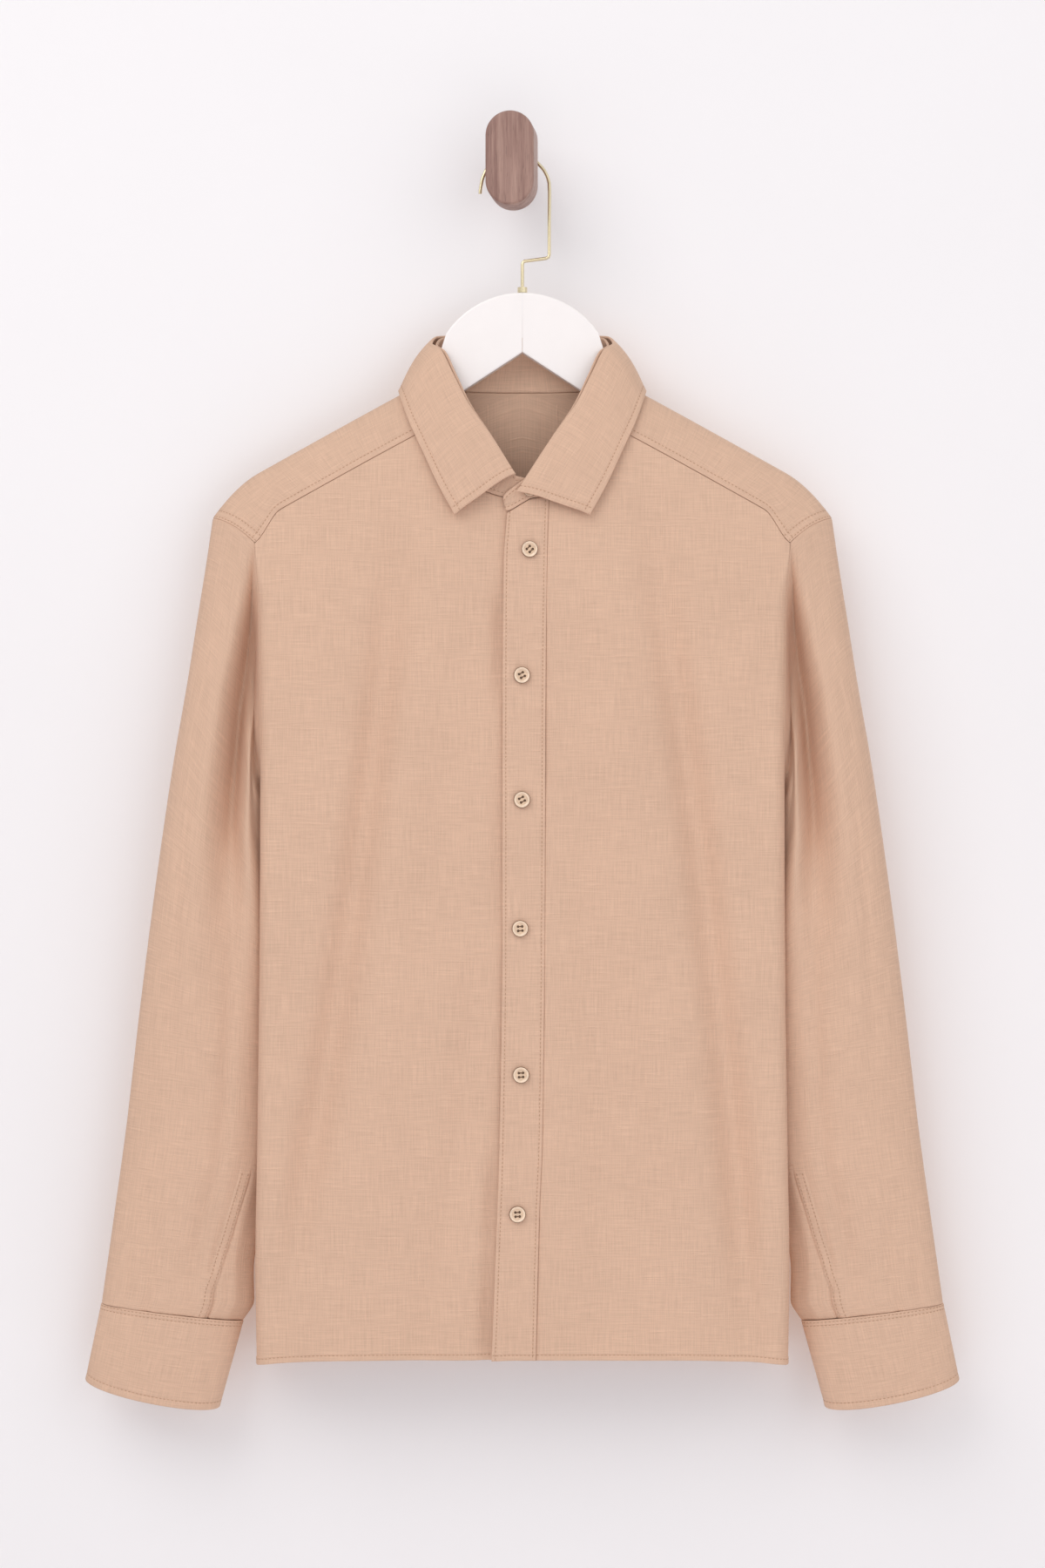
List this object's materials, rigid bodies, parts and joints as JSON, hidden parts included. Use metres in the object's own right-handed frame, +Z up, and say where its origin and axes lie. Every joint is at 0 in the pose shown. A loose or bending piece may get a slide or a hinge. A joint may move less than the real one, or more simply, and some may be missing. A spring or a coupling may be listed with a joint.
{
  "type": "linen shirt on a hanger and wall peg",
  "caption": "Long-sleeved linen shirt with a pointed collar, buttoned and hung flat on a white hanger from a wooden wall peg.",
  "frame": {"origin": "centre of the peg stem's back face, on the wall", "axes": "+Y into the wall, +Z up, the shirt's front faces -Y"},
  "size_m": [0.6616, 0.0845, 0.9753],
  "materials": {
    "linen": "sandy beige slubbed plain-weave linen, matt, with topstitching in the same colour",
    "pearl_button": "pearly beige, polished",
    "white_paint": "warm white satin lacquer on wood",
    "pale_gold": "polished pale brass",
    "walnut": "oiled walnut with upright grain"
  },
  "bodies": {
    "root": {"front_right": "linen", "front_left": "linen", "front_placket": "linen", "back": "linen", "yoke": "linen", "sleeve_right": "linen", "sleeve_left": "linen", "cuff_right": "linen", "cuff_left": "linen", "collar_stand": "linen", "collar_leaf": "linen", "button_1": "pearl_button", "button_2": "pearl_button", "button_3": "pearl_button", "button_4": "pearl_button", "button_5": "pearl_button", "button_6": "pearl_button", "collar_button": "pearl_button", "cuff_button_right": "pearl_button", "cuff_button_left": "pearl_button", "hanger_right": "white_paint", "hanger_left": "white_paint", "ferrule": "pale_gold", "hook": "pale_gold", "peg_head": "walnut", "peg_stem": "walnut"}
  },
  "joints": []
}
